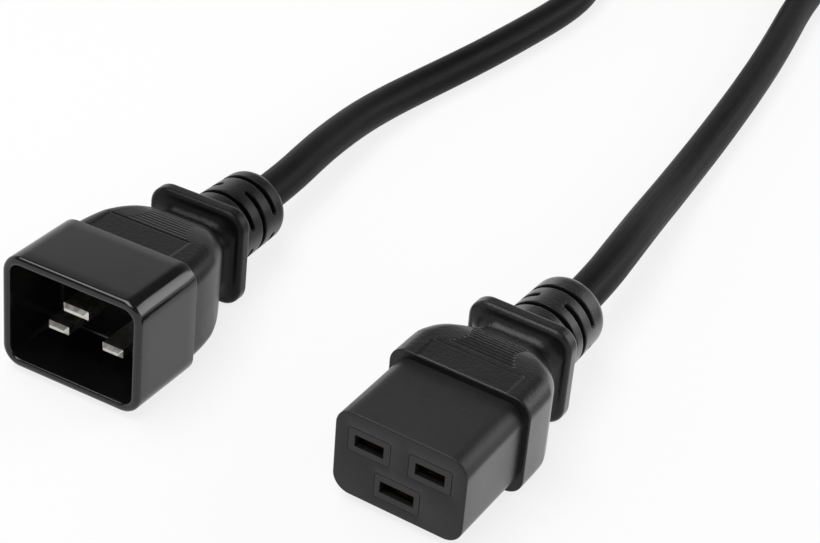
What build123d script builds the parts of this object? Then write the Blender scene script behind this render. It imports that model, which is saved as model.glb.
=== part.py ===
from build123d import *

import math
import os

# A mains lead with a three-pin plug in a shroud at one end and a three-slot connector at the other.
# Both ends are overmoulded, and each has a ribbed grip, a finger flange and a slotted strain relief.
# Millimetres. The lead lies on z = 0. The ends face -Y side by side, the plug on the left.
# Each end is drawn level on its own axis, with its mating face at y = 0 and its cable leaving along +Y.

# Cable: a round sheath over three insulated cores.
cable_diameter = 8.2
core_diameter = 2.8
conductor_diameter = 1.6
core_spacing_gap = 0.1
core_bend_radius = 5.0
core_straight = 3.5

# What both overmoulds share: finger flange, neck and strain relief.
body_height = 22.2
flange_width = 23.0
flange_height = 22.2
flange_corner = 4.2
flange_thickness = 3.6
flange_rim_round = 1.0
flange_root_round = 2.4
neck_height = 15.6
neck_corner = 5.2
relief_root_diameter = 17.2
relief_tip_diameter = 16.3
relief_end = 66.0
relief_tip_round = 2.6
relief_slot_width = 1.3
relief_slot_floor = 1.6
relief_side_bridge = 4.4
relief_top_bridge = 5.6
sheath_end = 55.0

# Grip: grooves across the top and the bottom of the body.
grip_half_width = 6.8
grip_groove_count = 8
grip_pitch = 1.38
grip_groove_depth = 0.45
grip_groove_width = 0.9

# Plug: a hard shroud and base, three blades.
shroud_width = 32.9
shroud_height = 25.3
shroud_corner = 4.2
shroud_depth = 18.9
shroud_wall = 1.9
shroud_rim_round = 0.6
cavity_corner = 2.4
shroud_base = 2.5
cavity_depth = shroud_depth - shroud_base
plug_tenon_width = 24.0
plug_tenon_height = 16.6
plug_tenon_corner = 2.5
plug_tenon_depth = 4.5
blade_thickness = 2.0
phase_blade_width = 5.0
earth_blade_width = 6.0
blade_side_offset = 6.5
phase_blade_height = -3.5
earth_blade_height = 4.5
phase_blade_tip = 4.6
earth_blade_tip = 1.4
blade_tip_chamfer = 0.7
blade_edge_round = 0.3
plug_flange_start = 41.9
plug_slot_stations = (52.1, 56.4, 60.7)
plug_grip_start = 28.0

# Connector: the block that enters a shroud, with an insert of three towers flush in its face.
block_width = 28.1
block_height = 19.2
block_corner = 3.8
block_depth = 20.0
block_draft = 0.1
block_edge_round = 0.4
tower_width = 9.0
tower_height = 5.3
earth_tower_width = 9.7
earth_tower_height = 5.5
tower_corner = 0.5
slot_width = 6.25
earth_slot_width = 7.36
slot_height = 2.6
slot_side_offset = 6.5
phase_slot_height = 3.65
earth_slot_offset = -4.3
slot_lip = 1.3
chamber_margin_width = 0.6
chamber_height = 4.1
carrier_width = 25.0
carrier_height = 16.0
carrier_corner = 2.5
carrier_start = 20.5
carrier_depth = 5.0
contact_width = 5.2
contact_thickness = 0.5
contact_start = 2.2
contact_mouth = 3.3
contact_pinch_station = 4.6
contact_belly_station = 11.0
contact_back = 17.0
contact_leaf_spread = 3.4
contact_tail_width = 3.0
connector_flange_start = 42.2
connector_slot_stations = (52.0, 55.8, 59.7)
connector_grip_start = 28.3

# Crimp barrels, behind the blades and the contacts.
barrel_length = 6.0

# Plan and height of each body from its front to its neck: station, width, height, corner radius.
plug_body = (
    (shroud_depth, 31.6, body_height, 3.6),
    (23.7, 30.7, body_height, 3.6),
    (27.7, 29.3, body_height, 3.6),
    (30.7, 27.3, 21.9, 3.8),
    (33.6, 24.4, 21.3, 4.2),
    (35.6, 22.0, 20.2, 4.6),
    (37.6, 19.9, 18.3, 5.0),
)
connector_body = (
    (block_depth, 30.8, body_height, 3.8),
    (24.0, 30.8, body_height, 3.8),
    (27.8, 30.6, body_height, 3.8),
    (30.5, 29.0, 22.0, 3.9),
    (32.5, 26.9, 21.6, 4.1),
    (34.4, 23.4, 20.8, 4.5),
    (36.2, 19.9, 19.4, 4.9),
    (37.8, 18.7, 17.8, 5.1),
)

# How the ends lie. The connector rests level on its body and flange, which are equally high.
plug_x = -36.05
plug_front_y = -34.05
connector_x = 35.75
connector_front_y = -31.45
connector_turn = -2.75

# Route of the cable, chosen by hand, from just behind each strain relief to the coil.
first_straight = 75.2
plug_route = (
    (-38.3, 61.5, 8.1),
    (-39.5, 79.5, 6.2),
    (-38.9, 93.5, 4.9),
    (-36.8, 107.5, 4.1),
    (-34.1, 119.5, 4.1),
    (-31.5, 132.0, 4.1),
    (-28.9, 147.0, 4.1),
    (-26.6, 162.0, 4.1),
    (-25.9, 175.0, 4.1),
    (-28.3, 187.8, 4.3),
    (-33.7, 199.7, 4.6),
)
connector_route = (
    (37.9, 64.5, 10.2),
    (36.1, 80.0, 7.8),
    (34.7, 94.0, 5.7),
    (33.5, 108.5, 4.4),
    (32.8, 121.5, 4.1),
    (31.9, 137.0, 4.1),
    (30.8, 153.0, 4.1),
    (29.2, 171.0, 4.1),
    (27.1, 188.5, 4.1),
    (24.7, 206.0, 4.1),
    (24.0, 222.9, 4.6),
    (23.3, 234.2, 6.5),
)

# Coil of the length that is put away: three turns wide, two turns high, held by a tie.
coil_centre = (-39.5, 281.0)
coil_middle_radius = 47.5
coil_columns = 3
coil_layers = 2
plug_joins_coil_at = 230.0
connector_leaves_coil_at = 8.9
stub_length = 32.0
stub_approach = 12.0
connector_stub_drop = 3.2
tie_thickness = 0.8
tie_width = 9.0
tie_at = 120.0


def section_plane(station):
    """Plane across an end's axis: its x is the end's width, its y is height."""
    return Plane(origin=(0, station, 0), x_dir=(1, 0, 0), z_dir=(0, -1, 0))


def bar(outline, start, end):
    """Solid with the same outline from one station to another."""
    return extrude(section_plane(end) * outline, amount=end - start)


def at(side, height):
    """Shift of an outline in its section plane."""
    return Pos(side, height, 0)


def rod(diameter, start, end):
    return bar(Circle(diameter / 2), start, end)


# Overmould: body, flange and strain relief.


def body_loft(sections):
    """Smooth body through rounded rectangles, narrowing to the neck, flat on its top and bottom."""
    smooth = loft([(section_plane(s) * RectangleRounded(w, h, r)).face() for s, w, h, r in sections])
    start, end = sections[0][0], sections[-1][0]
    return smooth & bar(Rectangle(2 * flange_width, body_height), start, end)


def neck_and_flare(sections, flange_start):
    """Neck that runs from the body's last section to the flange, with a round root of quarter-circle form."""
    last_station, last_width, last_height, last_corner = sections[-1]
    neck_width = flange_width - 2 * flange_root_round
    flare_start = flange_start - flange_root_round
    faces = [(section_plane(last_station) * RectangleRounded(last_width, last_height, last_corner)).face()]
    for turn in (0, 30, 60, 90):
        angle = math.radians(turn)
        station = flare_start + flange_root_round * math.sin(angle)
        grow = 2 * flange_root_round * (1 - math.cos(angle))
        outline = RectangleRounded(neck_width + grow, neck_height + grow, neck_corner - grow / 4)
        faces.append((section_plane(station) * outline).face())
    return loft(faces[:2], ruled=True) + loft(faces[1:])


def finger_flange(start):
    plate = bar(RectangleRounded(flange_width, flange_height, flange_corner), start, start + flange_thickness)
    rims = plate.faces().filter_by(Axis.Y).edges()
    return fillet(rims, flange_rim_round)


def relief_slot(station, along_z):
    """Slot round the strain relief, left whole at two bridges: at its sides, or on its top and bottom."""
    start = station - relief_slot_width / 2
    end = station + relief_slot_width / 2
    floor_diameter = cable_diameter + 2 * relief_slot_floor
    ring = rod(relief_root_diameter + 2, start, end) - rod(floor_diameter, start, end)
    if along_z:
        bridge = Rectangle(relief_top_bridge, 2 * relief_root_diameter)
    else:
        bridge = Rectangle(2 * relief_root_diameter, relief_side_bridge)
    return ring - bar(bridge, start, end)


def strain_relief(start, slot_stations):
    """Tapered round sleeve with a rounded end, cut by three pairs of slots that alternate by a quarter turn."""
    profile = Polyline(
        (0, start), (relief_root_diameter / 2, start), (relief_tip_diameter / 2, relief_end), (0, relief_end),
        close=True,
    )
    sleeve = revolve(Face(Wire(profile.edges())), Axis.Y)
    sleeve = fillet(sleeve.edges().group_by(Axis.Y)[-1], relief_tip_round)
    for count, station in enumerate(slot_stations):
        sleeve -= relief_slot(station, along_z=count == 1)
    return sleeve


def surface_height(body, station):
    """Height of the body's top on its centre line."""
    hits = body.find_intersection_points(Axis((0, station, 0), (0, 0, 1)))
    return max(point.Z for point, normal in hits)


def grip_grooves(body, start):
    """Grooves across the top and the bottom, each cut to the same depth below the surface there."""
    cutters = []
    half = grip_groove_width / 2
    for count in range(grip_groove_count):
        station = start + grip_pitch * (count + 0.5)
        top = surface_height(body, station)
        lean = (surface_height(body, station + half) - surface_height(body, station - half)) / 2
        for side in (1, -1):
            outline = Polyline(
                (0, station, side * (top - grip_groove_depth)),
                (0, station + half, side * (top + lean)),
                (0, station, side * (top + 1)),
                (0, station - half, side * (top - lean)),
                close=True,
            )
            prism = extrude(Face(Wire(outline.edges())), amount=grip_half_width, dir=(1, 0, 0), both=True)
            cutters.append(prism)
    return cutters


def rear_body(sections, flange_start, slot_stations, grip_start):
    """One moulding: ribbed body, neck, finger flange and slotted strain relief."""
    body = body_loft(sections) + neck_and_flare(sections, flange_start)
    body -= grip_grooves(body, grip_start)
    body += finger_flange(flange_start)
    return body + strain_relief(flange_start + flange_thickness / 2, slot_stations)


# Wiring inside each end.


def core_end_places(earth_above):
    """Where the three cores lie in the cable: they touch each other round its axis."""
    offset = (core_diameter + core_spacing_gap) / math.sqrt(3)
    turn = 1 if earth_above else -1
    side = offset * math.cos(math.radians(30))
    down = -turn * offset * math.sin(math.radians(30))
    return {"line": (-side, down), "neutral": (side, down), "earth": (0, turn * offset)}


def core_path(start_place, end_place, start):
    """From straight behind a barrel to straight into the cable, in one plane."""
    (side, height), (end_side, end_height) = start_place, end_place
    return FilletPolyline(
        (side, start, height),
        (side, start + core_straight, height),
        (end_side, sheath_end - core_straight, end_height),
        (end_side, sheath_end, end_height),
        radius=core_bend_radius,
    )


def swept_rod(path, diameter):
    start_plane = Plane(origin=path @ 0, z_dir=path % 0)
    return sweep(start_plane * Circle(diameter / 2), path=path)


def wire_set(places, earth_above, barrel_end):
    """Insulation and conductor of each core, and the whole core as one solid for the overmould's cavity."""
    ends = core_end_places(earth_above)
    wires = {}
    for name, place in places.items():
        path = core_path(place, ends[name], barrel_end)
        core = swept_rod(path, core_diameter)
        strand = swept_rod(path, conductor_diameter)
        in_barrel = at(*place) * Circle(conductor_diameter / 2)
        conductor = strand + bar(in_barrel, barrel_end - barrel_length, barrel_end)
        wires[name] = {"insulation": core - strand, "conductor": conductor, "whole": core}
    return wires


def crimp_barrel(place, start):
    tube = Circle(core_diameter / 2) - Circle(conductor_diameter / 2)
    return bar(at(*place) * tube, start, start + barrel_length)


# Plug.


plug_places = {
    "line": (-blade_side_offset, phase_blade_height),
    "neutral": (blade_side_offset, phase_blade_height),
    "earth": (0, earth_blade_height),
}
plug_tenon_end = shroud_depth + plug_tenon_depth
plug_barrel_end = plug_tenon_end + barrel_length


def plug_blade(name):
    """Flat blade with a chamfered tip, its tail drawn into a crimp barrel."""
    width = earth_blade_width if name == "earth" else phase_blade_width
    tip = earth_blade_tip if name == "earth" else phase_blade_tip
    place = at(*plug_places[name])
    outline = RectangleRounded(width, blade_thickness, blade_edge_round)
    shrunk = 2 * blade_tip_chamfer
    end_outline = RectangleRounded(width - shrunk, blade_thickness - shrunk, blade_edge_round / 2)
    full_from = tip + blade_tip_chamfer
    end_face = (section_plane(tip) * place * end_outline).face()
    full_face = (section_plane(full_from) * place * outline).face()
    blade = loft([end_face, full_face], ruled=True) + bar(place * outline, full_from, plug_tenon_end)
    return blade + crimp_barrel(plug_places[name], plug_tenon_end)


def plug_shroud(blades):
    """Open shroud with a closed base and a tenon behind it that the overmould grips."""
    outer = bar(RectangleRounded(shroud_width, shroud_height, shroud_corner), 0, shroud_depth)
    cavity_outline = RectangleRounded(
        shroud_width - 2 * shroud_wall, shroud_height - 2 * shroud_wall, cavity_corner
    )
    shroud = outer - bar(cavity_outline, 0, cavity_depth)
    shroud = fillet(shroud.edges().group_by(Axis.Y)[0], shroud_rim_round)
    tenon_outline = RectangleRounded(plug_tenon_width, plug_tenon_height, plug_tenon_corner)
    shroud += bar(tenon_outline, shroud_depth, plug_tenon_end)
    for blade in blades:
        shroud -= blade
    return shroud


def plug_end():
    blades = {name: plug_blade(name) for name in plug_places}
    wires = wire_set(plug_places, True, plug_barrel_end)
    overmould = rear_body(plug_body, plug_flange_start, plug_slot_stations, plug_grip_start)
    tenon_outline = RectangleRounded(plug_tenon_width, plug_tenon_height, plug_tenon_corner)
    overmould -= bar(tenon_outline, shroud_depth, plug_tenon_end)
    overmould -= rod(cable_diameter, sheath_end, relief_end)
    for name, place in plug_places.items():
        overmould -= bar(at(*place) * Circle(core_diameter / 2), plug_tenon_end, plug_barrel_end)
        overmould -= wires[name]["whole"]
    nodes = {"plug_shroud": plug_shroud(blades.values()), "plug_overmould": overmould}
    for name in plug_places:
        nodes[f"plug_{name}_blade"] = blades[name]
        nodes[f"plug_{name}_insulation"] = wires[name]["insulation"]
        nodes[f"plug_{name}_conductor"] = wires[name]["conductor"]
    return nodes


# Connector.


connector_places = {
    "line": (-slot_side_offset, phase_slot_height),
    "neutral": (slot_side_offset, phase_slot_height),
    "earth": (0, earth_slot_offset),
}
carrier_end = carrier_start + carrier_depth
connector_barrel_end = carrier_end + barrel_length


def tower_outline(name):
    if name == "earth":
        return RectangleRounded(earth_tower_width, earth_tower_height, tower_corner)
    return RectangleRounded(tower_width, tower_height, tower_corner)


def sprung_contact(name):
    """Strip folded to two leaves that pinch a blade, with flared mouths, a flat tail and a crimp barrel."""
    place = connector_places[name]
    half = contact_thickness / 2
    pinch = blade_thickness / 2 + half
    spread = contact_leaf_spread / 2 - half
    mouth = contact_mouth / 2
    leaf = ((contact_start, mouth), (contact_pinch_station, pinch), (contact_belly_station, spread))
    back = contact_back - half
    upper = [(station, height) for station, height in leaf] + [(back, spread)]
    lower = [(station, -height) for station, height in reversed(upper)]
    side_plane = Plane(origin=(place[0] - contact_width / 2, 0, place[1]), x_dir=(0, 1, 0), z_dir=(1, 0, 0))
    strip = trace(Polyline(*upper, *lower), line_width=contact_thickness)
    folded = extrude(side_plane * strip, amount=contact_width)
    tail_outline = at(*place) * Rectangle(contact_tail_width, contact_thickness)
    folded += bar(tail_outline, contact_back - contact_thickness, carrier_end)
    return folded + crimp_barrel(place, carrier_end)


def connector_insert():
    """Carrier with three towers: each has a slot in its face, and a chamber and a tail slit behind it."""
    insert = bar(RectangleRounded(carrier_width, carrier_height, carrier_corner), carrier_start, carrier_end)
    for name, place in connector_places.items():
        insert += bar(at(*place) * tower_outline(name), 0, carrier_start)
    for name, place in connector_places.items():
        width = earth_slot_width if name == "earth" else slot_width
        insert -= bar(at(*place) * Rectangle(width, slot_height), 0, slot_lip)
        chamber = Rectangle(width + chamber_margin_width, chamber_height)
        insert -= bar(at(*place) * chamber, slot_lip, contact_back)
        tail = Rectangle(contact_tail_width, contact_thickness)
        insert -= bar(at(*place) * tail, contact_back, carrier_end)
    return insert


def entry_block():
    """The block that a shroud takes in, a little wider at its rear."""
    front = RectangleRounded(block_width, block_height, block_corner)
    grown = 2 * block_draft
    rear = RectangleRounded(block_width + grown, block_height + grown, block_corner)
    block = loft([(section_plane(0) * front).face(), (section_plane(block_depth) * rear).face()], ruled=True)
    return fillet(block.edges().group_by(Axis.Y)[0], block_edge_round)


def connector_end():
    contacts = {name: sprung_contact(name) for name in connector_places}
    wires = wire_set(connector_places, False, connector_barrel_end)
    overmould = rear_body(connector_body, connector_flange_start, connector_slot_stations, connector_grip_start)
    overmould += entry_block()
    carrier_outline = RectangleRounded(carrier_width, carrier_height, carrier_corner)
    overmould -= bar(carrier_outline, carrier_start, carrier_end)
    overmould -= rod(cable_diameter, sheath_end, relief_end)
    for name, place in connector_places.items():
        overmould -= bar(at(*place) * tower_outline(name), 0, carrier_start)
        overmould -= bar(at(*place) * Circle(core_diameter / 2), carrier_end, connector_barrel_end)
        overmould -= wires[name]["whole"]
    nodes = {"connector_insert": connector_insert(), "connector_overmould": overmould}
    for name in connector_places:
        nodes[f"connector_{name}_contact"] = contacts[name]
        nodes[f"connector_{name}_insulation"] = wires[name]["insulation"]
        nodes[f"connector_{name}_conductor"] = wires[name]["conductor"]
    return nodes


# Places. The plug is taller at its shroud than at its flange, so it rests nose up, on the shroud's rear edge
# and the rear of the flange's flat.
flange_low_station = plug_flange_start + flange_thickness - flange_rim_round
height_step = (shroud_height - flange_height) / 2
plug_pitch = math.degrees(math.atan2(height_step, flange_low_station - shroud_depth))
pitch_sine = math.sin(math.radians(plug_pitch))
pitch_cosine = math.cos(math.radians(plug_pitch))
plug_axis_height = shroud_height / 2 * pitch_cosine + shroud_depth * pitch_sine
plug_place = Pos(plug_x, plug_front_y, plug_axis_height) * Rot(-plug_pitch, 0, 0)
connector_axis_height = body_height / 2
connector_place = Pos(connector_x, connector_front_y, connector_axis_height) * Rot(0, 0, connector_turn)


# Cable and coil.


def placed_point(place, station):
    """A point on an end's axis, where the end lies."""
    return (place * Pos(0, station, 0)).position


def corner_radii(points):
    """Arc at each corner: 0.45 of the shorter run, over the tangent of half the turn."""
    radii = []
    for before, here, after in zip(points, points[1:], points[2:]):
        run_in = here - before
        run_out = after - here
        half_turn = math.radians(run_in.get_angle(run_out)) / 2
        radii.append(0.45 * min(run_in.length, run_out.length) / math.tan(half_turn))
    return radii


def cable_tube(name, points):
    """Straight runs joined by tangent arcs."""
    points = [Vector(*point) for point in points]
    radii = corner_radii(points)
    path = FilletPolyline(*points, radius=radii)
    tube = swept_rod(path, cable_diameter)
    expected = math.pi * cable_diameter**2 / 4 * path.length
    print(name, "arc radii", [round(radius) for radius in radii])
    print(name, "length", round(path.length, 1), "volume over section by length", round(tube.volume / expected, 4))
    return tube


coil_outer_turn = coil_middle_radius + (coil_columns - 1) / 2 * cable_diameter
coil_width = coil_columns * cable_diameter
coil_height = coil_layers * cable_diameter
low_turn_height = tie_thickness + cable_diameter / 2
high_turn_height = tie_thickness + coil_height - cable_diameter / 2


def on_coil(angle, radius, height):
    turn = math.radians(angle)
    return Vector(
        coil_centre[0] + radius * math.cos(turn), coil_centre[1] + radius * math.sin(turn), height
    )


def stub_ends():
    """Both ends of each straight stub, from where it is tangent to the outer turn to where a tube meets it."""
    enter = on_coil(plug_joins_coil_at, coil_outer_turn, low_turn_height)
    leave = on_coil(connector_leaves_coil_at, coil_outer_turn, high_turn_height)
    inward = math.radians(plug_joins_coil_at + 90)
    outward = math.radians(connector_leaves_coil_at - 90)
    enter_outer = enter + Vector(math.cos(inward), math.sin(inward), 0) * stub_length
    leave_outer = leave + Vector(math.cos(outward), math.sin(outward), 0) * stub_length
    leave_outer -= Vector(0, 0, connector_stub_drop)
    return (enter, enter_outer), (leave, leave_outer)


def ring_section(margin):
    """Section of the wound bundle, grown by a margin, on its radius from the coil's centre."""
    corner = cable_diameter / 2 + margin
    outline = RectangleRounded(coil_width + 2 * margin, coil_height + 2 * margin, corner)
    middle = tie_thickness + coil_height / 2
    return Plane.XZ * Pos(coil_middle_radius, middle, 0) * outline


def coil_solid():
    """Outer shape of the wound turns, with the two ends of the cable leaving it."""
    x, y = coil_centre
    coil = Pos(x, y, 0) * revolve(ring_section(0), Axis.Z)
    for inner, outer in stub_ends():
        line = Line(inner, outer)
        coil += swept_rod(line, cable_diameter)
    return coil


def tie_band():
    """Band round the bundle, following it."""
    arc = math.degrees(tie_width / coil_middle_radius)
    band = revolve(ring_section(tie_thickness) - ring_section(0), Axis.Z, revolution_arc=arc)
    x, y = coil_centre
    return Pos(x, y, 0) * Rot(0, 0, tie_at) * band


def tube_points(place, route, stub):
    """From inside a strain relief, along the route, to the end of a stub in the stub's own direction."""
    inner, outer = stub
    last_corner = outer + (outer - inner).normalized() * stub_approach
    return [placed_point(place, sheath_end), placed_point(place, first_straight), *route, last_corner, outer]


def cable_nodes():
    plug_stub, connector_stub = stub_ends()
    plug_points = tube_points(plug_place, plug_route, plug_stub)
    connector_points = tube_points(connector_place, connector_route, connector_stub)
    return {
        "cable_from_plug": cable_tube("cable_from_plug", plug_points),
        "cable_from_connector": cable_tube("cable_from_connector", connector_points),
        "cable_coil": coil_solid(),
        "cable_tie": tie_band(),
    }


def main():
    for name, shape in plug_end().items():
        export_step(plug_place * shape, f"parts/{name}.step")
    for name, shape in connector_end().items():
        export_step(connector_place * shape, f"parts/{name}.step")
    for name, shape in cable_nodes().items():
        export_step(shape, f"parts/{name}.step")


os.makedirs("parts", exist_ok=True)
main()
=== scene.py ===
"""Looks of a mains lead: a plug whose three blades stand in a shroud, a connector with three slots, and the
cable that joins them, its spare length wound into a tied coil.

Sizes are millimetres in each end's own frame: side to the right, station from the mating face backwards along
the axis, height upwards. Blender's objects are metres in the row frame.
"""

import math

import bmesh
import bpy
import numpy as np
from mathutils import Matrix, Vector


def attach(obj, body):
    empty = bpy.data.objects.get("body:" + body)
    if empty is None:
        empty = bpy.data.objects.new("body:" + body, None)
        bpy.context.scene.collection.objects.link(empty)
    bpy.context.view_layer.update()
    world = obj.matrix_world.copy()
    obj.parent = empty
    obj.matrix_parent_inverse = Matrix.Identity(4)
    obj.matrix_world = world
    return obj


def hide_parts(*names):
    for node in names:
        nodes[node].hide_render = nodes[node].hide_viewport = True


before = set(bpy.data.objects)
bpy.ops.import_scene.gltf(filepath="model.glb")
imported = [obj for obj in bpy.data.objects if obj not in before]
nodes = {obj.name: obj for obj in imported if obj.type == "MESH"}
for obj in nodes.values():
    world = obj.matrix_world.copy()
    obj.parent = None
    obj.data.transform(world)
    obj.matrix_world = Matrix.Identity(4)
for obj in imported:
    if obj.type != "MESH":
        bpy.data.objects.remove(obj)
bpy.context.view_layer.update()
MM = 0.001

# Cable and what both overmoulds share.
CABLE_DIAMETER = 8.2
FLANGE = (23.0, 22.2, 4.2)
FLANGE_THICKNESS = 3.6
FLANGE_FRONT_ROUND = 1.15
FLANGE_REAR_ROUND = 0.9
FLARE_LENGTH = 2.4
NECK = (18.2, 15.6, 5.2)
RELIEF_ROOT_RADIUS = 8.6
RELIEF_TIP_RADIUS = 8.15
RELIEF_END = 66.0
RELIEF_END_ROUND = 2.6
RELIEF_ROOT_ROUND = 0.6
SLOT_HALF_WIDTH = 0.65
SLOT_FLOOR_RADIUS = 5.7
SIDE_BRIDGE_HALF = 2.2
TOP_BRIDGE_HALF = 2.8
BORE_RADIUS = 4.12
SHEATH_END = 55.0
SHOULDER_EDGE_ROUND = 0.3
GRIP_PITCH = 0.95
GRIP_GROOVES = 9

# Plug.
SHROUD = (32.9, 25.3, 4.2)
SHROUD_DEPTH = 18.9
SHROUD_WALL = 1.9
CAVITY_CORNER = 2.4
CAVITY_DEPTH = 16.4
RIM_OUTER_ROUND = 1.1
RIM_INNER_ROUND = 0.75
PLUG_FLANGE_START = 41.9
PLUG_SLOT_STATIONS = (52.1, 56.4, 60.7)
# First groove of the ribbed patch and the depth of its grooves.
PLUG_GRIP = (28.7, 0.07)
# Station of the panel's rear line, its left and right sides, and how deep it is sunk.
PLUG_PANEL = (27.7, -11.3, 8.6, 0.10)
PLUG_X = -36.05
PLUG_FRONT_Y = -34.05

# Connector.
BLOCK = (28.1, 19.2, 3.8)
BLOCK_DEPTH = 20.0
BLOCK_EDGE_ROUND = 0.4
TOWER_CORNER = 0.5
TOWER_GAP = 0.09
TOWERS = ((-6.5, 3.65, 9.0, 5.3), (6.5, 3.65, 9.0, 5.3), (0.0, -4.3, 9.7, 5.5))
CONNECTOR_FLANGE_START = 42.2
CONNECTOR_SLOT_STATIONS = (52.0, 55.8, 59.7)
CONNECTOR_GRIP = (28.2, 0.45)
CONNECTOR_PANEL = (26.5, -9.9, 10.0, 0.10)
CONNECTOR_X = 35.75
CONNECTOR_FRONT_Y = -31.45
CONNECTOR_AXIS_HEIGHT = 11.1
CONNECTOR_TURN = math.radians(-2.75)

# Station, width, height and corner radius of each body, from its front to its neck.
PLUG_BODY = (
    (18.9, 31.6, 22.2, 3.6), (23.7, 30.7, 22.2, 3.6), (27.7, 29.3, 22.2, 3.6), (30.7, 27.3, 21.9, 3.8),
    (33.6, 24.4, 21.3, 4.2), (35.6, 22.0, 20.2, 4.6), (37.6, 19.9, 18.3, 5.0),
)
CONNECTOR_BODY = (
    (20.0, 30.8, 22.2, 3.8), (24.0, 30.8, 22.2, 3.8), (27.8, 30.6, 22.2, 3.8), (30.5, 29.0, 22.0, 3.9),
    (32.5, 26.9, 21.6, 4.1), (34.4, 23.4, 20.8, 4.5), (36.2, 19.9, 19.4, 4.9), (37.8, 18.7, 17.8, 5.1),
)
# Half width of the ribbed patch along it, from its front edge backwards.
GRIP_HALF_WIDTHS = ((0.0, 6.9), (2.2, 5.5), (3.9, 5.1), (6.2, 5.7), (9.0, 6.2), (12.7, 6.6))


# Numbers.


def smooth_through(x, known_x, known_y):
    """Cubic through the known points without overshoot: each point's slope is the harmonic mean of the slopes
    of the runs on its two sides, and none where they disagree in sign."""
    known_x, known_y = np.asarray(known_x, float), np.asarray(known_y, float)
    run = np.diff(known_x)
    rise = np.diff(known_y) / run
    product, total = rise[:-1] * rise[1:], rise[:-1] + rise[1:]
    inner = np.where(product > 0, 2 * product / np.where(total == 0, 1, total), 0)
    slope = np.concatenate([rise[:1], inner, rise[-1:]])
    i = np.clip(np.searchsorted(known_x, x) - 1, 0, len(run) - 1)
    t = np.clip((x - known_x[i]) / run[i], 0, 1)
    return (
        (2 * t**3 - 3 * t**2 + 1) * known_y[i]
        + (t**3 - 2 * t**2 + t) * run[i] * slope[i]
        + (3 * t**2 - 2 * t**3) * known_y[i + 1]
        + (t**3 - t**2) * run[i] * slope[i + 1]
    )


def ease(x):
    """Nought to one with level ends, for x from nought to one."""
    x = np.clip(x, 0, 1)
    return x * x * (3 - 2 * x)


def around(straight_top, straight_side, corner):
    """Columns round a rounded rectangle, anticlockwise from the low end of its right side: the share of the
    straight half width, the share of the straight half height, and the angle that the outline faces."""
    side, top = np.linspace(-1, 1, straight_side), np.linspace(1, -1, straight_top)
    turn = np.linspace(0, math.pi / 2, corner + 2)[1:-1]
    ones = np.ones
    share_w = [ones(straight_side), ones(corner), top, -ones(corner)]
    share_h = [side, ones(corner), ones(straight_top), ones(corner)]
    faces = [0 * side, turn, 0 * top + math.pi / 2, turn + math.pi / 2]
    share_w = np.concatenate(share_w + [-part for part in share_w])
    share_h = np.concatenate(share_h + [-part for part in share_h])
    faces = np.concatenate(faces + [part + math.pi for part in faces])
    return share_w, share_h, faces


def rounded_rectangle(columns, width, height, corner):
    """Side and height on the grid of rows by columns: the straight half times its share, plus the corner radius
    times the direction that the outline faces."""
    share_w, share_h, faces = columns
    width, height, corner = (np.asarray(value, float)[:, None] for value in (width, height, corner))
    side = share_w * (width / 2 - corner) + corner * np.cos(faces)
    up = share_h * (height / 2 - corner) + corner * np.sin(faces)
    return side, up


class Place:
    """Where an end lies: its mating face's centre, and the directions of its side, axis and height."""

    def __init__(self, origin, across, along, up):
        self.origin, self.across = np.array(origin, float), np.array(across, float)
        self.along, self.up = np.array(along, float), np.array(up, float)

    def points(self, side, station, height):
        """Row-frame points in metres."""
        side, station, height = np.broadcast_arrays(side, station, height)
        return MM * (
            self.origin
            + side[..., None] * self.across
            + station[..., None] * self.along
            + height[..., None] * self.up
        )


plug_pitch = math.atan2(
    (SHROUD[1] - FLANGE[1]) / 2, PLUG_FLANGE_START + FLANGE_THICKNESS - 1.0 - SHROUD_DEPTH
)
plug_place = Place(
    (PLUG_X, PLUG_FRONT_Y, SHROUD[1] / 2 * math.cos(plug_pitch) + SHROUD_DEPTH * math.sin(plug_pitch)),
    (1, 0, 0),
    (0, math.cos(plug_pitch), -math.sin(plug_pitch)),
    (0, math.sin(plug_pitch), math.cos(plug_pitch)),
)
connector_place = Place(
    (CONNECTOR_X, CONNECTOR_FRONT_Y, CONNECTOR_AXIS_HEIGHT),
    (math.cos(CONNECTOR_TURN), math.sin(CONNECTOR_TURN), 0),
    (-math.sin(CONNECTOR_TURN), math.cos(CONNECTOR_TURN), 0),
    (0, 0, 1),
)


# Meshes.


def quads(rows, columns):
    """Corner numbers of the faces between neighbouring rows and columns, the last column joined to the first."""
    row, column = np.meshgrid(np.arange(rows - 1), np.arange(columns), indexing="ij")
    following = (column + 1) % columns
    corners = [row * columns + column, (row + 1) * columns + column]
    corners += [(row + 1) * columns + following, row * columns + following]
    return np.stack(corners, axis=-1).reshape(-1, 4)


def fan(ring, pole, outward):
    """Triangles from a ring of points to its pole."""
    following = np.roll(ring, -1)
    corners = [following, ring] if outward else [ring, following]
    return np.stack(corners + [np.full_like(ring, pole)], axis=-1)


def finish_mesh(name, mesh, finish, replaced, sharp_angle):
    """Object of a finished mesh, shaded smooth between its sharp edges."""
    mesh.validate()
    mesh.shade_smooth()
    if sharp_angle:
        mesh.set_sharp_from_angle(angle=math.radians(sharp_angle))
    mesh.materials.append(finish)
    piece = bpy.data.objects.new(name, mesh)
    bpy.context.scene.collection.objects.link(piece)
    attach(piece, "root")
    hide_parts(*replaced)
    return piece


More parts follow.
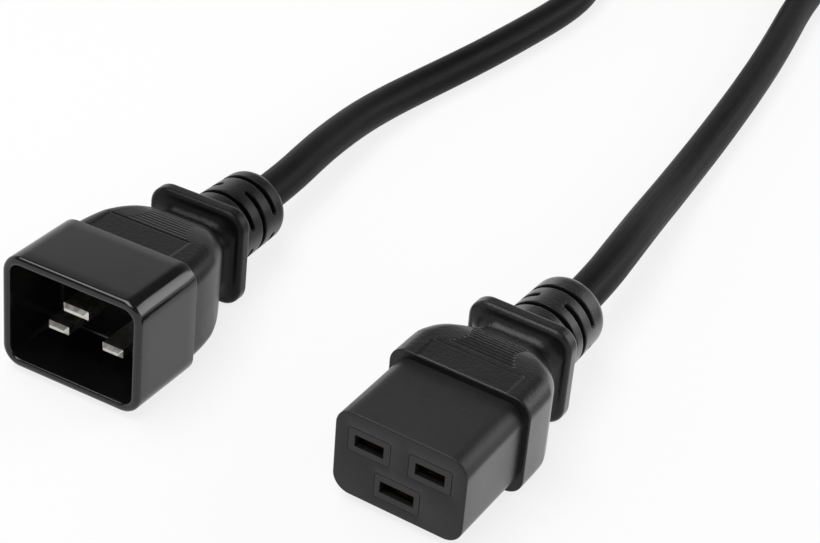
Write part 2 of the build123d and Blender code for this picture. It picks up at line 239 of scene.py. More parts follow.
def closed_skin(name, points, first_pole, last_pole, finish, replaced, sharp_angle=38):
    """Piece from a grid of rows by columns by three, closed round its columns and by a pole at each end."""
    rows, columns = points.shape[:2]
    vertices = np.concatenate([points.reshape(-1, 3), [first_pole, last_pole]])
    ring = np.arange(columns)
    first = fan(ring, rows * columns, True)
    last = fan(ring + (rows - 1) * columns, rows * columns + 1, False)
    mesh = bpy.data.meshes.new(name)
    faces = quads(rows, columns)[:, ::-1].tolist() + first[:, ::-1].tolist() + last[:, ::-1].tolist()
    mesh.from_pydata(vertices.tolist(), [], faces)
    return finish_mesh(name, mesh, finish, replaced, sharp_angle)


# Finishes.


def node_group(name, inputs, outputs):
    """New shader group with float inputs and the given outputs, and its two end nodes."""
    group = bpy.data.node_groups.new(name, "ShaderNodeTree")
    for socket, value in inputs.items():
        group.interface.new_socket(socket, in_out="INPUT", socket_type="NodeSocketFloat").default_value = value
    for socket, kind in outputs.items():
        group.interface.new_socket(socket, in_out="OUTPUT", socket_type=kind)
    return group, group.nodes.new("NodeGroupInput"), group.nodes.new("NodeGroupOutput")


class Net:
    """Short ways to add and join nodes in a tree."""

    def __init__(self, tree):
        self.tree = tree

    def add(self, kind, values=None, **settings):
        node = self.tree.nodes.new(kind)
        for key, value in settings.items():
            setattr(node, key, value)
        for key, value in (values or {}).items():
            self.feed(node.inputs[key], value)
        return node

    def feed(self, socket, value):
        if isinstance(value, bpy.types.NodeSocket):
            self.tree.links.new(value, socket)
        else:
            socket.default_value = value

    def math(self, operation, first, second=0.0, clamp=False):
        return self.add("ShaderNodeMath", {0: first, 1: second}, operation=operation, use_clamp=clamp).outputs[0]

    def noise(self, vector, scale, detail=2.0, roughness=0.5):
        values = {"Vector": vector, "Scale": scale, "Detail": detail, "Roughness": roughness}
        return self.add("ShaderNodeTexNoise", values).outputs[0]

    def between(self, value, low, high, to_low=0.0, to_high=1.0):
        values = {0: value, 1: low, 2: high, 3: to_low, 4: to_high}
        return self.add("ShaderNodeMapRange", values, clamp=True).outputs[0]

    def colour(self, factor, first, second):
        node = self.add("ShaderNodeMix", {0: factor}, data_type="RGBA")
        self.feed(node.inputs[6], first)
        self.feed(node.inputs[7], second)
        return node.outputs[2]


def grey(level):
    return (level, level, level, 1.0)


def make_moulded_grain():
    """Spark-eroded mould texture: fine grain and coarser pits as height, slow clouds, and sparse pale specks
    that are painted glints.
    """
    inputs = {"Grain size": 0.0003, "Pit depth": 0.5}
    outputs = {name: "NodeSocketFloat" for name in ("Height", "Clouds", "Painted glints")}
    group, given, out = node_group("moulded grain", inputs, outputs)
    net = Net(group)
    where = net.add("ShaderNodeTexCoord").outputs["Object"]
    scale = net.math("DIVIDE", 1.0, given.outputs["Grain size"])
    fine = net.noise(where, scale, 3.0, 0.6)
    coarse = net.noise(where, net.math("DIVIDE", scale, 2.7), 2.0, 0.5)
    pits = net.between(coarse, 0.35, 0.6)
    height = net.math("ADD", fine, net.math("MULTIPLY", pits, given.outputs["Pit depth"]))
    clouds = net.noise(where, 90.0, 3.0, 0.55)
    # Sparse pale specks, used by the finishes as painted glints.
    painted_glints = net.between(net.noise(where, 2100.0, 1.0, 0.5), 0.74, 0.8)
    for name, value in {"Height": height, "Clouds": clouds, "Painted glints": painted_glints}.items():
        net.feed(out.inputs[name], value)
    return group


def make_handling_marks():
    """Faint rubs and hairline scratches left by handling."""
    group, given, out = node_group("handling marks", {"Amount": 0.5}, {"Mask": "NodeSocketFloat"})
    net = Net(group)
    where = net.add("ShaderNodeTexCoord").outputs["Object"]
    placing = {"Vector": where, "Rotation": (0.3, 0.2, 0.9), "Scale": (120.0, 1500.0, 1500.0)}
    turned = net.add("ShaderNodeMapping", placing)
    lines = net.between(net.noise(turned.outputs[0], 1.0, 2.0, 0.6), 0.66, 0.72)
    rubs = net.between(net.noise(where, 160.0, 4.0, 0.7), 0.55, 0.75)
    mask = net.math("MULTIPLY", net.math("MULTIPLY", lines, rubs), given.outputs["Amount"])
    net.feed(out.inputs["Mask"], mask)
    return group


moulded_grain = make_moulded_grain()
handling_marks = make_handling_marks()


def new_finish(name):
    """Material with an empty net, its surface shader and its output."""
    material = bpy.data.materials.new(name)
    material.use_nodes = True
    material.node_tree.nodes.clear()
    net = Net(material.node_tree)
    shader = net.add("ShaderNodeBsdfPrincipled")
    net.add("ShaderNodeOutputMaterial", {"Surface": shader.outputs[0]})
    return material, net, shader


def moulded_finish(
    name, dark, light, rough, rough_spread, grain_size, grain_depth, pit_depth, marks, shine, grazing
):
    """Moulded plastic: colour and roughness drift with the clouds, grain in the surface, faint handling marks,
    sparse pale specks painted in as glints, and a satin coat that shows only where the surface turns well away
    from the eye."""
    material, net, shader = new_finish(name)
    shader.inputs["Specular IOR Level"].default_value = shine
    grain = net.add("ShaderNodeGroup", node_tree=moulded_grain)
    grain.inputs["Grain size"].default_value = grain_size
    grain.inputs["Pit depth"].default_value = pit_depth
    rubbed = net.add("ShaderNodeGroup", node_tree=handling_marks)
    rubbed.inputs["Amount"].default_value = marks
    colour = net.colour(net.between(grain.outputs["Clouds"], 0.3, 0.7), grey(dark), grey(light))
    # Pale specks painted into the colour as glints (painted highlight), added to the real handling wear.
    painted_glints = net.math("MULTIPLY", grain.outputs["Painted glints"], 0.25)
    wear_and_painted_glints = net.math("ADD", rubbed.outputs["Mask"], painted_glints, clamp=True)
    net.feed(shader.inputs["Base Color"], net.colour(wear_and_painted_glints, colour, grey(0.09)))
    roughness = net.between(grain.outputs["Clouds"], 0.3, 0.7, rough - rough_spread, rough + rough_spread)
    net.feed(shader.inputs["Roughness"], net.math("ADD", roughness, net.math("MULTIPLY", wear_and_painted_glints, 0.2), clamp=True))
    turned_away = net.add("ShaderNodeLayerWeight", {"Blend": 0.5}).outputs["Facing"]
    net.feed(shader.inputs["Coat Weight"], net.between(turned_away, 0.50, 0.63, 0.0, grazing))
    shader.inputs["Coat Roughness"].default_value = 0.35
    relief = {"Height": grain.outputs["Height"], "Strength": 1.0, "Distance": grain_depth}
    bump = net.add("ShaderNodeBump", relief)
    net.feed(shader.inputs["Normal"], bump.outputs[0])
    return material


def metal_finish(name, dark, light, rough, brushed, tip_grain):
    """Plated or bare metal: brushed along its length, with a finer punched grain, dulled in soft clouds."""
    material, net, shader = new_finish(name)
    where = net.add("ShaderNodeTexCoord").outputs["Object"]
    along = net.add("ShaderNodeMapping", {"Vector": where, "Scale": (5200.0, 500.0, 5200.0)})
    lines = net.noise(along.outputs[0], 1.0, 3.0, 0.6)
    dull = net.noise(where, 700.0, 3.0, 0.6)
    net.feed(shader.inputs["Base Color"], net.colour(net.between(dull, 0.3, 0.7), dark, light))
    shader.inputs["Metallic"].default_value = 1.0
    net.feed(shader.inputs["Roughness"], net.between(dull, 0.25, 0.75, rough - 0.05, rough + 0.08))
    punched = net.noise(where, 3600.0, 2.0, 0.6)
    height = net.math("ADD", net.math("MULTIPLY", lines, brushed), net.math("MULTIPLY", punched, tip_grain))
    bump = net.add("ShaderNodeBump", {"Height": height, "Strength": 1.0, "Distance": 0.000012})
    net.feed(shader.inputs["Normal"], bump.outputs[0])
    return material


def wire_finish(name, first, second, stripe):
    """Core insulation: soft satin plastic, with a second colour in lengthwise stripes on the earth core."""
    material, net, shader = new_finish(name)
    where = net.add("ShaderNodeTexCoord").outputs["Object"]
    drift = net.noise(where, 420.0, 3.0, 0.5)
    share = drift
    if stripe:
        waving = {"Vector": where, "Scale": 230.0, "Distortion": 0.6}
        wave = net.add("ShaderNodeTexWave", waving, bands_direction="X")
        share = net.between(wave.outputs[1], 0.45, 0.55)
    net.feed(shader.inputs["Base Color"], net.colour(share, first, second))
    net.feed(shader.inputs["Roughness"], net.between(drift, 0.2, 0.8, 0.34, 0.48))
    bump = net.add("ShaderNodeBump", {"Height": drift, "Strength": 0.4, "Distance": 0.0001})
    net.feed(shader.inputs["Normal"], bump.outputs[0])
    return material


def sheath_finish():
    """Cable sheath: satin black plastic drawn lengthwise, with faint die lines and slow flattened patches.
    The pattern runs on the cable's own length and turn."""
    material, net, shader = new_finish("cable_sheath_pvc")
    shader.inputs["Specular IOR Level"].default_value = 0.07
    spot = net.add("ShaderNodeSeparateXYZ", {0: net.add("ShaderNodeTexCoord").outputs["UV"]})
    turn = net.math("MULTIPLY", spot.outputs[1], 2 * math.pi)
    lengthwise = net.math("MULTIPLY", spot.outputs[0], 9.0)
    vector = {0: net.math("COSINE", turn), 1: net.math("SINE", turn), 2: lengthwise}
    drawn = net.add("ShaderNodeCombineXYZ", vector).outputs[0]
    lines = net.noise(drawn, 7.5, 2.0, 0.55)
    stretched = net.add("ShaderNodeMapping", {"Vector": drawn, "Scale": (1.0, 1.0, 22.0)})
    slow = net.noise(stretched.outputs[0], 1.6, 2.0, 0.5)
    where = net.add("ShaderNodeTexCoord").outputs["Object"]
    fine = net.noise(where, 2600.0, 2.0, 0.6)
    net.feed(shader.inputs["Base Color"], net.colour(net.between(slow, 0.3, 0.7), grey(0.003), grey(0.005)))
    net.feed(shader.inputs["Roughness"], net.between(lines, 0.3, 0.7, 0.36, 0.5))
    height = net.math("ADD", net.math("MULTIPLY", lines, 0.5), net.math("MULTIPLY", slow, 0.9))
    height = net.math("ADD", height, net.math("MULTIPLY", fine, 0.12))
    bump = net.add("ShaderNodeBump", {"Height": height, "Strength": 1.0, "Distance": 0.00007})
    net.feed(shader.inputs["Normal"], bump.outputs[0])
    return material


def tie_finish():
    """Tie band: woven nylon, two sets of threads that cross, with a soft sheen."""
    material, net, shader = new_finish("tie_woven_nylon")
    where = net.add("ShaderNodeTexCoord").outputs["Object"]
    threads = {"Vector": where, "Scale": 620.0, "Distortion": 0.4}
    warp = net.add("ShaderNodeTexWave", threads, bands_direction="Z")
    weft = net.add("ShaderNodeTexWave", threads, bands_direction="X")
    weave = net.math("MAXIMUM", warp.outputs[1], weft.outputs[1])
    net.feed(shader.inputs["Base Color"], net.colour(weave, grey(0.004), grey(0.012)))
    net.feed(shader.inputs["Roughness"], net.between(weave, 0.0, 1.0, 0.85, 0.6))
    shader.inputs["Sheen Weight"].default_value = 0.05
    bump = net.add("ShaderNodeBump", {"Height": weave, "Strength": 0.8, "Distance": 0.00012})
    net.feed(shader.inputs["Normal"], bump.outputs[0])
    return material


plug_pvc = moulded_finish("plug_overmould_pvc", 0.002, 0.004, 0.38, 0.05, 0.00022, 0.000020, 0.9, 0.4, 0.16, 0.3)
connector_pvc = moulded_finish(
    "connector_overmould_pvc", 0.004, 0.006, 0.36, 0.05, 0.00022, 0.000022, 0.9, 0.4, 0.32, 0.8
)
block_pvc = moulded_finish("block_pvc", 0.006, 0.009, 0.48, 0.04, 0.00026, 0.000018, 0.6, 0.3, 0.35, 0.85)
shroud_gloss = moulded_finish(
    "shroud_gloss_plastic", 0.004, 0.006, 0.16, 0.03, 0.0012, 0.000002, 0.3, 0.4, 0.5, 0.0
)
insert_plastic = moulded_finish(
    "insert_plastic", 0.006, 0.009, 0.50, 0.04, 0.00026, 0.000012, 0.6, 0.3, 0.42, 0.0
)
nickel = metal_finish("blade_nickel", (0.50, 0.49, 0.46, 1), (0.66, 0.65, 0.61, 1), 0.30, 0.3, 0.35)
brass = metal_finish("contact_brass", (0.16, 0.10, 0.04, 1), (0.24, 0.16, 0.07, 1), 0.45, 0.6, 0.3)
copper = metal_finish("strand_copper", (0.52, 0.22, 0.10, 1), (0.74, 0.36, 0.18, 1), 0.3, 1.0, 0.2)
brown_core = wire_finish("brown_core_pvc", (0.08, 0.03, 0.012, 1), (0.11, 0.043, 0.018, 1), False)
blue_core = wire_finish("blue_core_pvc", (0.012, 0.10, 0.33, 1), (0.02, 0.14, 0.42, 1), False)
earth_core = wire_finish("earth_core_pvc", (0.02, 0.22, 0.03, 1), (0.62, 0.50, 0.03, 1), True)
cable_sheath = sheath_finish()
tie_nylon = tie_finish()


# Overmoulds.


def end_rows(body, flange_start, grip_start, panel_line):
    """Stations of the rows from the body's front to the flare, close together across the ribs and the panel
    line."""
    front, last = body[0][0], flange_start - FLARE_LENGTH
    edge = front + SHOULDER_EDGE_ROUND
    plain = np.arange(edge, grip_start - GRIP_PITCH / 2 - 0.05, 0.42)
    ribs = np.arange(grip_start - GRIP_PITCH / 2, last, GRIP_PITCH / 8)
    line = panel_line + np.array([-0.2, -0.1, -0.05, 0.0, 0.05, 0.1, 0.2])
    plain = plain[np.abs(plain - panel_line) > 0.3]
    return np.unique(np.concatenate([plain, line, ribs, [last]]))


def overmould_skin(name, place, body, flange_start, slot_stations, grip, panel, finish, replaced):
    """One skin from the body's front to the bore. The body's rows are rounded rectangles whose width, height and
    corner run smoothly through the sections; the flare is a quarter ellipse and the flange's edges are quarter
    circles. The strain relief is a taper on the polar angles of the flange's outline, and its slots pull the
    surface in to their floor. Ribs and the panel line are waves along the station, under a mask across it."""
    columns = around(84, 44, 10)
    faces = columns[2]
    panel_line, panel_left, panel_right, panel_depth = panel
    grip_start, rib_depth = grip
    stations = end_rows(body, flange_start, grip_start, panel_line)
    sections = np.array(body + ((flange_start - FLARE_LENGTH,) + NECK,))
    width, height, corner = (smooth_through(stations, sections[:, 0], sections[:, k]) for k in (1, 2, 3))

    # The shoulder's front edge, rounded.
    turn = np.linspace(0, math.pi / 2, 5)[:-1]
    inset = SHOULDER_EDGE_ROUND * (1 - np.sin(turn))
    front = body[0]
    edge_station = front[0] + SHOULDER_EDGE_ROUND * (1 - np.cos(turn))
    side_edge, up_edge = rounded_rectangle(
        columns, front[1] - 2 * inset, front[2] - 2 * inset, front[3] - inset
    )
    side, up = rounded_rectangle(columns, width, height, corner)

    # Ribs, panel line and sunk panel.
    behind = (stations - grip_start)[:, None]
    half = smooth_through(np.clip(behind, 0, 12.7), *np.array(GRIP_HALF_WIDTHS).T)
    across = ease((half - np.abs(side)) / 0.35 + 0.5)
    from_groove = np.abs(np.mod(behind / GRIP_PITCH + 0.5, 1.0) - 0.5)
    groove = ease(1 - from_groove / 0.42)
    within = (behind > -GRIP_PITCH / 2) * (behind < (GRIP_GROOVES - 0.5) * GRIP_PITCH)
    upright = np.abs(np.sin(faces)) ** 3
    sunk = rib_depth * groove * across * within
    in_panel = ease((side - panel_left) / 0.4) * ease((panel_right - side) / 0.4)
    line = np.exp(-(((stations - panel_line) / 0.11) ** 2))[:, None]
    before = ease((panel_line - stations) / 0.25)[:, None]
    sunk = sunk + in_panel * (0.26 * line + panel_depth * before)
    side = side - sunk * upright * np.cos(faces)
    up = up - sunk * upright * np.sin(faces)

    # Flare, flange and the start of its back.
    turn = np.linspace(0, math.pi / 2, 9)[1:]
    grow = 1 - np.cos(turn)
    rim = FLANGE_FRONT_ROUND
    flare_end = (FLANGE[0] - 2 * rim, FLANGE[1] - 2 * rim, FLANGE[2] - rim)
    flare = [NECK[k] + (flare_end[k] - NECK[k]) * grow for k in range(3)]
    flare_station = flange_start - FLARE_LENGTH * (1 - np.sin(turn))
    front_inset, rear_inset = rim * (1 - np.sin(turn)), FLANGE_REAR_ROUND * (1 - np.cos(turn))
    land_start, land_end = flange_start + rim, flange_start + FLANGE_THICKNESS - FLANGE_REAR_ROUND
    land = np.linspace(land_start, land_end, 5)[1:]
    flange_back = flange_start + FLANGE_THICKNESS
    inset = np.concatenate([front_inset, 0 * land, rear_inset])
    rim_station = np.concatenate([
        flange_start + rim * (1 - np.cos(turn)), land, land_end + FLANGE_REAR_ROUND * np.sin(turn)
    ])
    side_flange, up_flange = rounded_rectangle(
        columns,
        np.concatenate([flare[0], FLANGE[0] - 2 * inset]),
        np.concatenate([flare[1], FLANGE[1] - 2 * inset]),
        np.concatenate([flare[2], FLANGE[2] - inset]),
    )
    flange_station = np.concatenate([flare_station, rim_station])

    # Back of the flange, in to the root of the strain relief.
    angle = np.arctan2(up_flange[-1], side_flange[-1])
    share = np.array([0.35, 0.7, 0.95])[:, None]
    root = RELIEF_ROOT_RADIUS + RELIEF_ROOT_ROUND
    reach = np.hypot(side_flange[-1], up_flange[-1])
    back_reach = reach + share * (root - reach)
    turn = np.linspace(0, math.pi / 2, 6)
    root_reach = root - RELIEF_ROOT_ROUND * np.sin(turn)
    root_station = flange_back + RELIEF_ROOT_ROUND * (1 - np.cos(turn))

    # Strain relief: rows as station and radius, the slots' walls close together.
    begin, finish_station = root_station[-1], RELIEF_END - RELIEF_END_ROUND
    slope = (RELIEF_TIP_RADIUS - RELIEF_ROOT_RADIUS) / (finish_station - begin)
    wall = np.array([-0.22, -0.09, -0.02, 0.02, 0.05, 0.07])
    depth = np.array([0.0, 0.012, 0.045, 0.13, 0.55, 1.0])
    row_station, row_depth = [], []
    last = begin
    for count, centre in enumerate(slot_stations):
        open_part = np.abs(np.cos(angle) if count == 1 else np.sin(angle)) * RELIEF_ROOT_RADIUS
        bridge = TOP_BRIDGE_HALF if count == 1 else SIDE_BRIDGE_HALF
        beyond = np.clip((open_part - bridge) / SLOT_HALF_WIDTH, 0, 1)
        half_width = SLOT_HALF_WIDTH * np.sqrt(np.clip(1 - (1 - beyond) ** 2, 0.0, 1))
        is_open = beyond > 0
        gap = np.linspace(last, centre - SLOT_HALF_WIDTH - 0.35, 5)[1:]
        row_station += list(gap[:, None] + 0 * angle)
        row_depth += [0 * angle] * len(gap)
        room = np.maximum(half_width, 0.1)
        for ds, share_of_depth in zip(wall, depth):
            row_station.append(centre - room + np.minimum(ds, room - 0.01))
            row_depth.append(share_of_depth * is_open)
        for ds, share_of_depth in zip(wall[::-1], depth[::-1]):
            row_station.append(centre + room - np.minimum(ds, room - 0.01))
            row_depth.append(share_of_depth * is_open)
        last = centre + SLOT_HALF_WIDTH + 0.35
    gap = np.linspace(last, finish_station, 5)
    row_station += list(gap[:, None] + 0 * angle)
    row_depth += [0 * angle] * len(gap)
    row_station, row_depth = np.array(row_station), np.array(row_depth)
    radius = RELIEF_ROOT_RADIUS + slope * (row_station - begin)
    radius = radius + row_depth * (SLOT_FLOOR_RADIUS - radius)

    # Rounded end, end face and bore.
    turn = np.linspace(0, math.pi / 2, 11)[1:]
    end_radius = RELIEF_TIP_RADIUS - RELIEF_END_ROUND * (1 - np.cos(turn))
    end_station = finish_station + RELIEF_END_ROUND * np.sin(turn)
    bore = [(BORE_RADIUS + 0.3, 0.0), (BORE_RADIUS + 0.08, 0.04), (BORE_RADIUS, 0.25), (BORE_RADIUS, 4.0)]
    end_radius = np.concatenate([end_radius, [r for r, s in bore], [BORE_RADIUS]])
    end_station = np.concatenate([end_station, [RELIEF_END - s for r, s in bore], [SHEATH_END]])

    def polar(reach, station):
        reach, station = np.broadcast_arrays(reach, station)
        return reach * np.cos(angle), station, reach * np.sin(angle)

    wide = np.ones(len(angle))
    parts = [
        (side_edge, edge_station[:, None] * wide, up_edge),
        (side, stations[:, None] * wide, up),
        (side_flange, flange_station[:, None] * wide, up_flange),
        polar(back_reach, flange_back * np.ones((3, len(angle)))),
        polar(root_reach[:, None] * wide, root_station[:, None] * wide),
        polar(radius, row_station),
        polar(end_radius[:, None] * wide, end_station[:, None] * wide),
    ]
    side, station, up = (np.concatenate([part[k] for part in parts]) for k in range(3))
    first_pole = place.points(0.0, front[0], 0.0)
    last_pole = place.points(0.0, SHEATH_END, 0.0)
    return closed_skin(
        name, place.points(side, station, up), first_pole, last_pole, finish, replaced, sharp_angle=42
    )


overmould_skin(
    "plug_overmould_skin", plug_place, PLUG_BODY, PLUG_FLANGE_START, PLUG_SLOT_STATIONS, PLUG_GRIP,
    PLUG_PANEL, plug_pvc, ["plug_overmould"],
)
overmould_skin(
    "connector_overmould_skin", connector_place, CONNECTOR_BODY, CONNECTOR_FLANGE_START,
    CONNECTOR_SLOT_STATIONS, CONNECTOR_GRIP, CONNECTOR_PANEL, connector_pvc,
    ["connector_overmould"],
)


# Plug shroud.


def shroud_skin():
    """Open shroud: rounded rectangles inset from the outer one by a profile that runs from the back over the
    outer wall, round the rim by two quarter circles and down the cavity to its floor."""
    columns = around(40, 30, 16)
    quarter = np.linspace(0, math.pi / 2, 10)
    outer, inner = RIM_OUTER_ROUND, RIM_INNER_ROUND
    rear, floor_round = 0.35, 0.9
    short = np.linspace(0, math.pi / 2, 6)
    profile = [
        (rear * (1 - np.sin(short)), SHROUD_DEPTH - rear * (1 - np.cos(short))),
        (0 * short, np.linspace(SHROUD_DEPTH - rear, outer, 8)[1:-1]),
        (outer * (1 - np.cos(quarter)), outer * (1 - np.sin(quarter))),
        (SHROUD_WALL - inner * (1 - np.sin(quarter)), inner * (1 - np.cos(quarter))),
        (0 * short + SHROUD_WALL, np.linspace(inner, CAVITY_DEPTH - floor_round, 8)[1:-1]),
        (SHROUD_WALL + floor_round * (1 - np.cos(quarter)), CAVITY_DEPTH - floor_round * (1 - np.sin(quarter))),
    ]
    inset = np.concatenate([part[0] for part in profile])
    station = np.concatenate([part[1] for part in profile])
    fall = (SHROUD[2] - CAVITY_CORNER) / SHROUD_WALL
    corner = SHROUD[2] - fall * np.minimum(inset, SHROUD_WALL) - np.maximum(inset - SHROUD_WALL, 0)
    side, up = rounded_rectangle(columns, SHROUD[0] - 2 * inset, SHROUD[1] - 2 * inset, corner)
    points = plug_place.points(side, station[:, None], up)
    first_pole = plug_place.points(0.0, SHROUD_DEPTH, 0.0)
    last_pole = plug_place.points(0.0, CAVITY_DEPTH, 0.0)
    return closed_skin(
        "plug_shroud_skin", points, first_pole, last_pole, shroud_gloss, ["plug_shroud"], 30
    )


shroud_skin()


# Connector block.


def block_piece():
    """Block with three through holes for the towers. Its outer wall and each hole's wall are grids of rounded
    rectangles along the station, and the faces fill between their end rings."""
    outer_columns, tower_columns = around(24, 18, 12), around(6, 4, 6)
    quarter = np.linspace(0, math.pi / 2, 8)
    edge = BLOCK_EDGE_ROUND
    inset = np.concatenate([edge * (1 - np.sin(quarter)), [0, 0, 0]])
    station = np.concatenate([edge * (1 - np.cos(quarter)), [6, 13, BLOCK_DEPTH]])
    side, up = rounded_rectangle(outer_columns, BLOCK[0] - 2 * inset, BLOCK[1] - 2 * inset, BLOCK[2] - inset)
    grids = [connector_place.points(side, station[:, None], up)]
    lip = 0.05
    for at_side, at_height, wide, high in TOWERS:
        hole_inset = np.array([-TOWER_GAP - lip, -TOWER_GAP - lip / 3, -TOWER_GAP, -TOWER_GAP])
        hole_station = np.array([0.0, lip / 3, lip, BLOCK_DEPTH])
        side, up = rounded_rectangle(
            tower_columns, wide - 2 * hole_inset, high - 2 * hole_inset, TOWER_CORNER - hole_inset
        )
        grids.append(connector_place.points(side + at_side, hole_station[:, None], up + at_height))
    mesh = bmesh.new()
    front_edges, rear_edges = [], []
    for count, grid in enumerate(grids):
        rows, around_count = grid.shape[:2]
        made = [mesh.verts.new(point) for point in grid.reshape(-1, 3)]
        faces = quads(rows, around_count)
        for face in faces if count else faces[:, ::-1]:
            mesh.faces.new([made[k] for k in face])
        for k in range(around_count):
            following = (k + 1) % around_count
            front_edges.append(mesh.edges.get((made[k], made[following])))
            base = (rows - 1) * around_count
            rear_edges.append(mesh.edges.get((made[base + k], made[base + following])))
    for edges in (front_edges, rear_edges):
        bmesh.ops.triangle_fill(mesh, use_beauty=True, use_dissolve=False, edges=edges)
    bmesh.ops.recalc_face_normals(mesh, faces=mesh.faces)
    data = bpy.data.meshes.new("connector_block_skin")
    mesh.to_mesh(data)
    mesh.free()
    return finish_mesh("connector_block_skin", data, block_pvc, ["connector_overmould"], 38)


block_piece()

# CAD nodes that stay, with their finishes.
KEPT = {
    "plug_line_blade": nickel, "plug_neutral_blade": nickel, "plug_earth_blade": nickel,
    "connector_line_contact": brass, "connector_neutral_contact": brass, "connector_earth_contact": brass,
    "connector_insert": insert_plastic, "cable_tie": tie_nylon,
}
for end in ("plug", "connector"):
    for core, finish in (("line", brown_core), ("neutral", blue_core), ("earth", earth_core)):
        KEPT[f"{end}_{core}_insulation"] = finish
        KEPT[f"{end}_{core}_conductor"] = copper
for node, finish in KEPT.items():
    for material_slot in nodes[node].material_slots:
        material_slot.material = finish


# Cable.

PLUG_ROUTE = (
    (-36.05, 20.85, 10.44), (-36.05, 41.01, 9.22), (-38.3, 61.5, 8.1), (-39.5, 79.5, 6.2), (-38.9, 93.5, 4.9),
    (-36.8, 107.5, 4.1), (-34.1, 119.5, 4.1), (-31.5, 132.0, 4.1), (-28.9, 147.0, 4.1), (-26.6, 162.0, 4.1),
    (-25.9, 175.0, 4.1), (-28.3, 187.8, 4.3), (-33.7, 199.7, 4.6), (-41.60, 210.05, 4.9), (-50.79, 217.76, 4.9),
)
CONNECTOR_ROUTE = (
    (38.39, 23.49, 11.1), (39.36, 43.66, 11.1), (37.9, 64.5, 10.2), (36.1, 80.0, 7.8), (34.7, 94.0, 5.7),
    (33.5, 108.5, 4.4), (32.8, 121.5, 4.1), (31.9, 137.0, 4.1), (30.8, 153.0, 4.1), (29.2, 171.0, 4.1),
    (27.1, 188.5, 4.1), (24.7, 206.0, 4.1), (24.0, 222.9, 4.6), (23.3, 234.2, 6.5), (22.34, 246.15, 8.7),
    (20.48, 258.0, 9.9),
)
COIL_CENTRE = (-39.5, 281.0)
COIL_ENTRY = 230.0
COIL_TURNS = 4.6142
COIL_COLUMNS = (55.7, 47.5, 39.3)
LOW_TURN, HIGH_TURN = 4.9, 13.1
POINTS_PER_TURN = 16


def coil_points():
    """The coil's control points, clockwise from where the cable comes in. Low turns lie on the outer, middle and
    inner column, each shift made in a turn's last sixth; then the cable climbs and spirals out over them. A
    control point stands outside the turn by four over three plus the cosine of its step, as the spline cuts
    in."""
    points = []
    outer, middle, inner = COIL_COLUMNS
    climb_from, climb_to = 2.58, 2.83
    step = 1 / POINTS_PER_TURN
    outside = 4 / (3 + math.cos(2 * math.pi * step))
    count = round(COIL_TURNS / step)
    for k in range(count + 1):
        turns = COIL_TURNS * k / count
        if turns < climb_to:
            whole = min(int(turns), 2)
            shift = ease((turns - whole - 5 / 6) * 6) if whole < 2 else 0
            radius = COIL_COLUMNS[whole] - (middle - inner) * float(shift)
        else:
            radius = inner + (outer - inner) * (turns - climb_to) / (COIL_TURNS - climb_to)
        height = LOW_TURN + (HIGH_TURN - LOW_TURN) * float(ease((turns - climb_from) / (climb_to - climb_from)))
        angle = math.radians(COIL_ENTRY - 360 * turns)
        reach = radius * outside
        x = COIL_CENTRE[0] + reach * math.cos(angle)
        y = COIL_CENTRE[1] + reach * math.sin(angle)
        points.append((x, y, height))
    return points


def cable_piece():
    """One smooth spline from inside one strain relief, through the coil, to inside the other."""
    points = list(PLUG_ROUTE) + coil_points() + list(reversed(CONNECTOR_ROUTE))
    curve = bpy.data.curves.new("mains_cable", "CURVE")
    curve.dimensions = "3D"
    spline = curve.splines.new("NURBS")
    spline.points.add(len(points) - 1)
    for point, (x, y, z) in zip(spline.points, points):
        point.co = (x * MM, y * MM, z * MM, 1.0)
    spline.order_u = 3
    spline.use_endpoint_u = True
    spline.resolution_u = 10
    curve.bevel_depth = CABLE_DIAMETER / 2 * MM
    curve.bevel_resolution = 10
    curve.use_fill_caps = True
    curve.materials.append(cable_sheath)
    piece = bpy.data.objects.new("mains_cable", curve)
    bpy.context.scene.collection.objects.link(piece)
    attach(piece, "root")
    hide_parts("cable_from_plug", "cable_from_connector", "cable_coil")
    return piece


cable = cable_piece()


# Studio.


def make_floor():
    """Plain pale floor: white to the eye and in reflections, with a matt share that takes the shadow."""
    mesh = bpy.data.meshes.new("studio_floor")
    reach = 6.0
    low = -0.00004
    corners = [(-reach, -reach, low), (reach, -reach, low), (reach, reach, low), (-reach, reach, low)]
    mesh.from_pydata(corners, [], [(0, 1, 2, 3)])
    material = bpy.data.materials.new("studio_floor_white")
    material.use_nodes = True
    material.node_tree.nodes.clear()
    net = Net(material.node_tree)
    matt = net.add("ShaderNodeBsdfDiffuse", {"Color": grey(0.85)})
    white = net.add("ShaderNodeEmission", {"Color": grey(1.0), "Strength": 1.0})
    path = net.add("ShaderNodeLightPath")
    seen = net.math("MAXIMUM", path.outputs["Is Camera Ray"], path.outputs["Is Glossy Ray"])
    seen = net.math("MAXIMUM", seen, path.outputs["Is Transmission Ray"])
    share = net.math("MULTIPLY", seen, 0.80)
    mixed = net.add("ShaderNodeMixShader", {0: share, 1: matt.outputs[0], 2: white.outputs[0]})
    net.add("ShaderNodeOutputMaterial", {"Surface": mixed.outputs[0]})
    mesh.materials.append(material)
    floor = bpy.data.objects.new("studio_floor", mesh)
    bpy.context.scene.collection.objects.link(floor)
    return floor


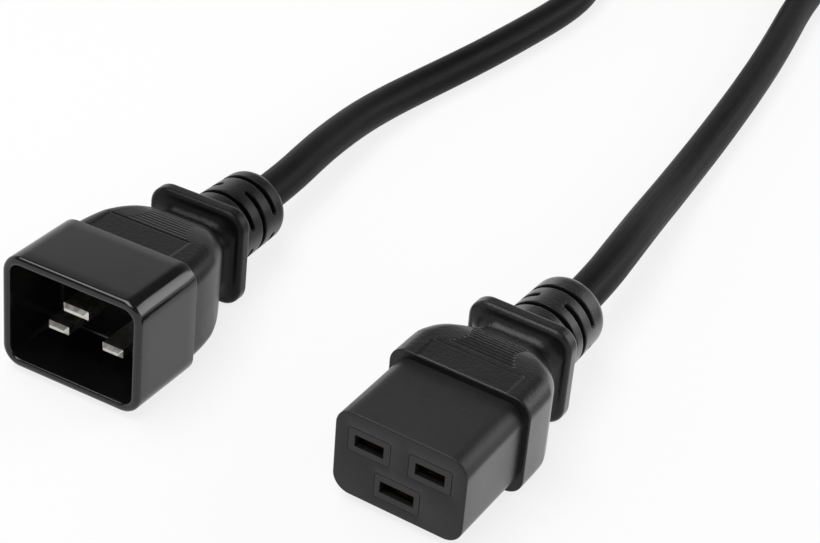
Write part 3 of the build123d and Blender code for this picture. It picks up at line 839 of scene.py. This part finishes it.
def make_world():
    """White backdrop to the eye. Reflections and bounced light see it up to half height, with a dim ceiling."""
    world = bpy.data.worlds.new("studio")
    bpy.context.scene.world = world
    world.use_nodes = True
    world.node_tree.nodes.clear()
    net = Net(world.node_tree)
    direction = net.add("ShaderNodeSeparateXYZ", {0: net.add("ShaderNodeTexCoord").outputs["Generated"]})
    level = net.between(direction.outputs[2], 0.37, 0.61, 1.0, 0.08)
    path = net.add("ShaderNodeLightPath")
    level = net.math("MAXIMUM", level, path.outputs["Is Camera Ray"])
    backdrop = net.add("ShaderNodeBackground", {"Color": grey(1.0), "Strength": level})
    net.add("ShaderNodeOutputWorld", {"Surface": backdrop.outputs[0]})
    return world


def softbox(name, location, target, size, strength):
    """Area lamp of a width and height in metres, aimed at a point, with its power from its own brightness."""
    data = bpy.data.lights.new(name, "AREA")
    data.shape = "RECTANGLE"
    data.size, data.size_y = size
    data.energy = strength * math.pi * size[0] * size[1]
    lamp = bpy.data.objects.new(name, data)
    bpy.context.scene.collection.objects.link(lamp)
    lamp.location = location
    lamp.rotation_euler = (Vector(target) - Vector(location)).to_track_quat("-Z", "Y").to_euler()
    return lamp


def make_camera():
    """Camera worked out from the photograph for a picture of 820 by 543: place in metres, then its own right, up
    and backward directions as the columns of its matrix."""
    data = bpy.data.cameras.new("camera")
    data.sensor_width = 36.0
    data.lens = 89.52
    data.clip_start, data.clip_end = 0.01, 50.0
    camera = bpy.data.objects.new("camera", data)
    bpy.context.scene.collection.objects.link(camera)
    right, up, back = (0.86704, 0.49348, 0.06874), (-0.33017, 0.46574, 0.82102), (0.37314, -0.73455, 0.56674)
    turn = Matrix((right, up, back)).transposed()
    camera.matrix_world = Matrix.Translation((0.16295, -0.28385, 0.25056)) @ turn.to_4x4()
    bpy.context.scene.camera = camera
    return camera


make_floor()
make_world()
softbox("softbox_over", (-0.18, -0.12, 0.75), (0.0, 0.02, 0.0), (0.90, 0.42), 4.8)
softbox("softbox_right", (0.62, 0.68, 0.42), (0.0, 0.02, 0.0), (0.60, 0.60), 3.0)
make_camera()
bpy.context.scene.view_settings.view_transform = "Standard"
